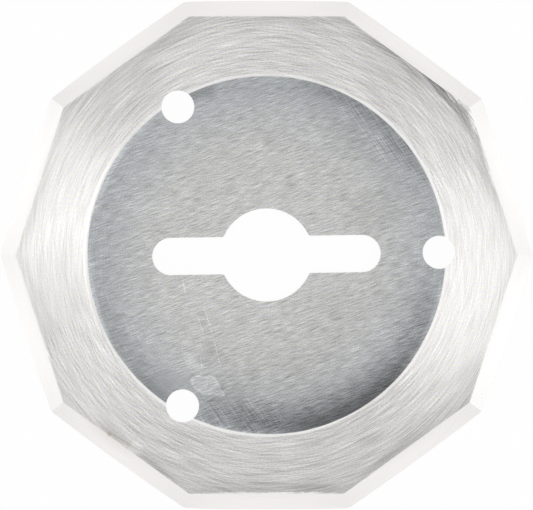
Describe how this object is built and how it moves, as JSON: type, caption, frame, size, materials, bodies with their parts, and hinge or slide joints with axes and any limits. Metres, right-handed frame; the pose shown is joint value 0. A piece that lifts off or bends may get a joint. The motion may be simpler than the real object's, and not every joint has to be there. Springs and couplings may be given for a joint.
{
  "type": "rotary shear blade",
  "caption": "Flat polygonal shear blade, bevelled to a cutting edge all round, with a recessed centre, a keyed bore and drive pin holes.",
  "frame": {"origin": "on the bore's axis, at the flat back that the blade lies on", "axes": "+Z out of the bevelled side, +X along the drive slot towards the pin hole on the slot's line"},
  "size_m": [0.057, 0.0546, 0.0012],
  "materials": {
    "ground_steel": "ground ring and bevels, brushed recess"
  },
  "bodies": {
    "root": {"shear_blade": "ground_steel"}
  },
  "joints": []
}
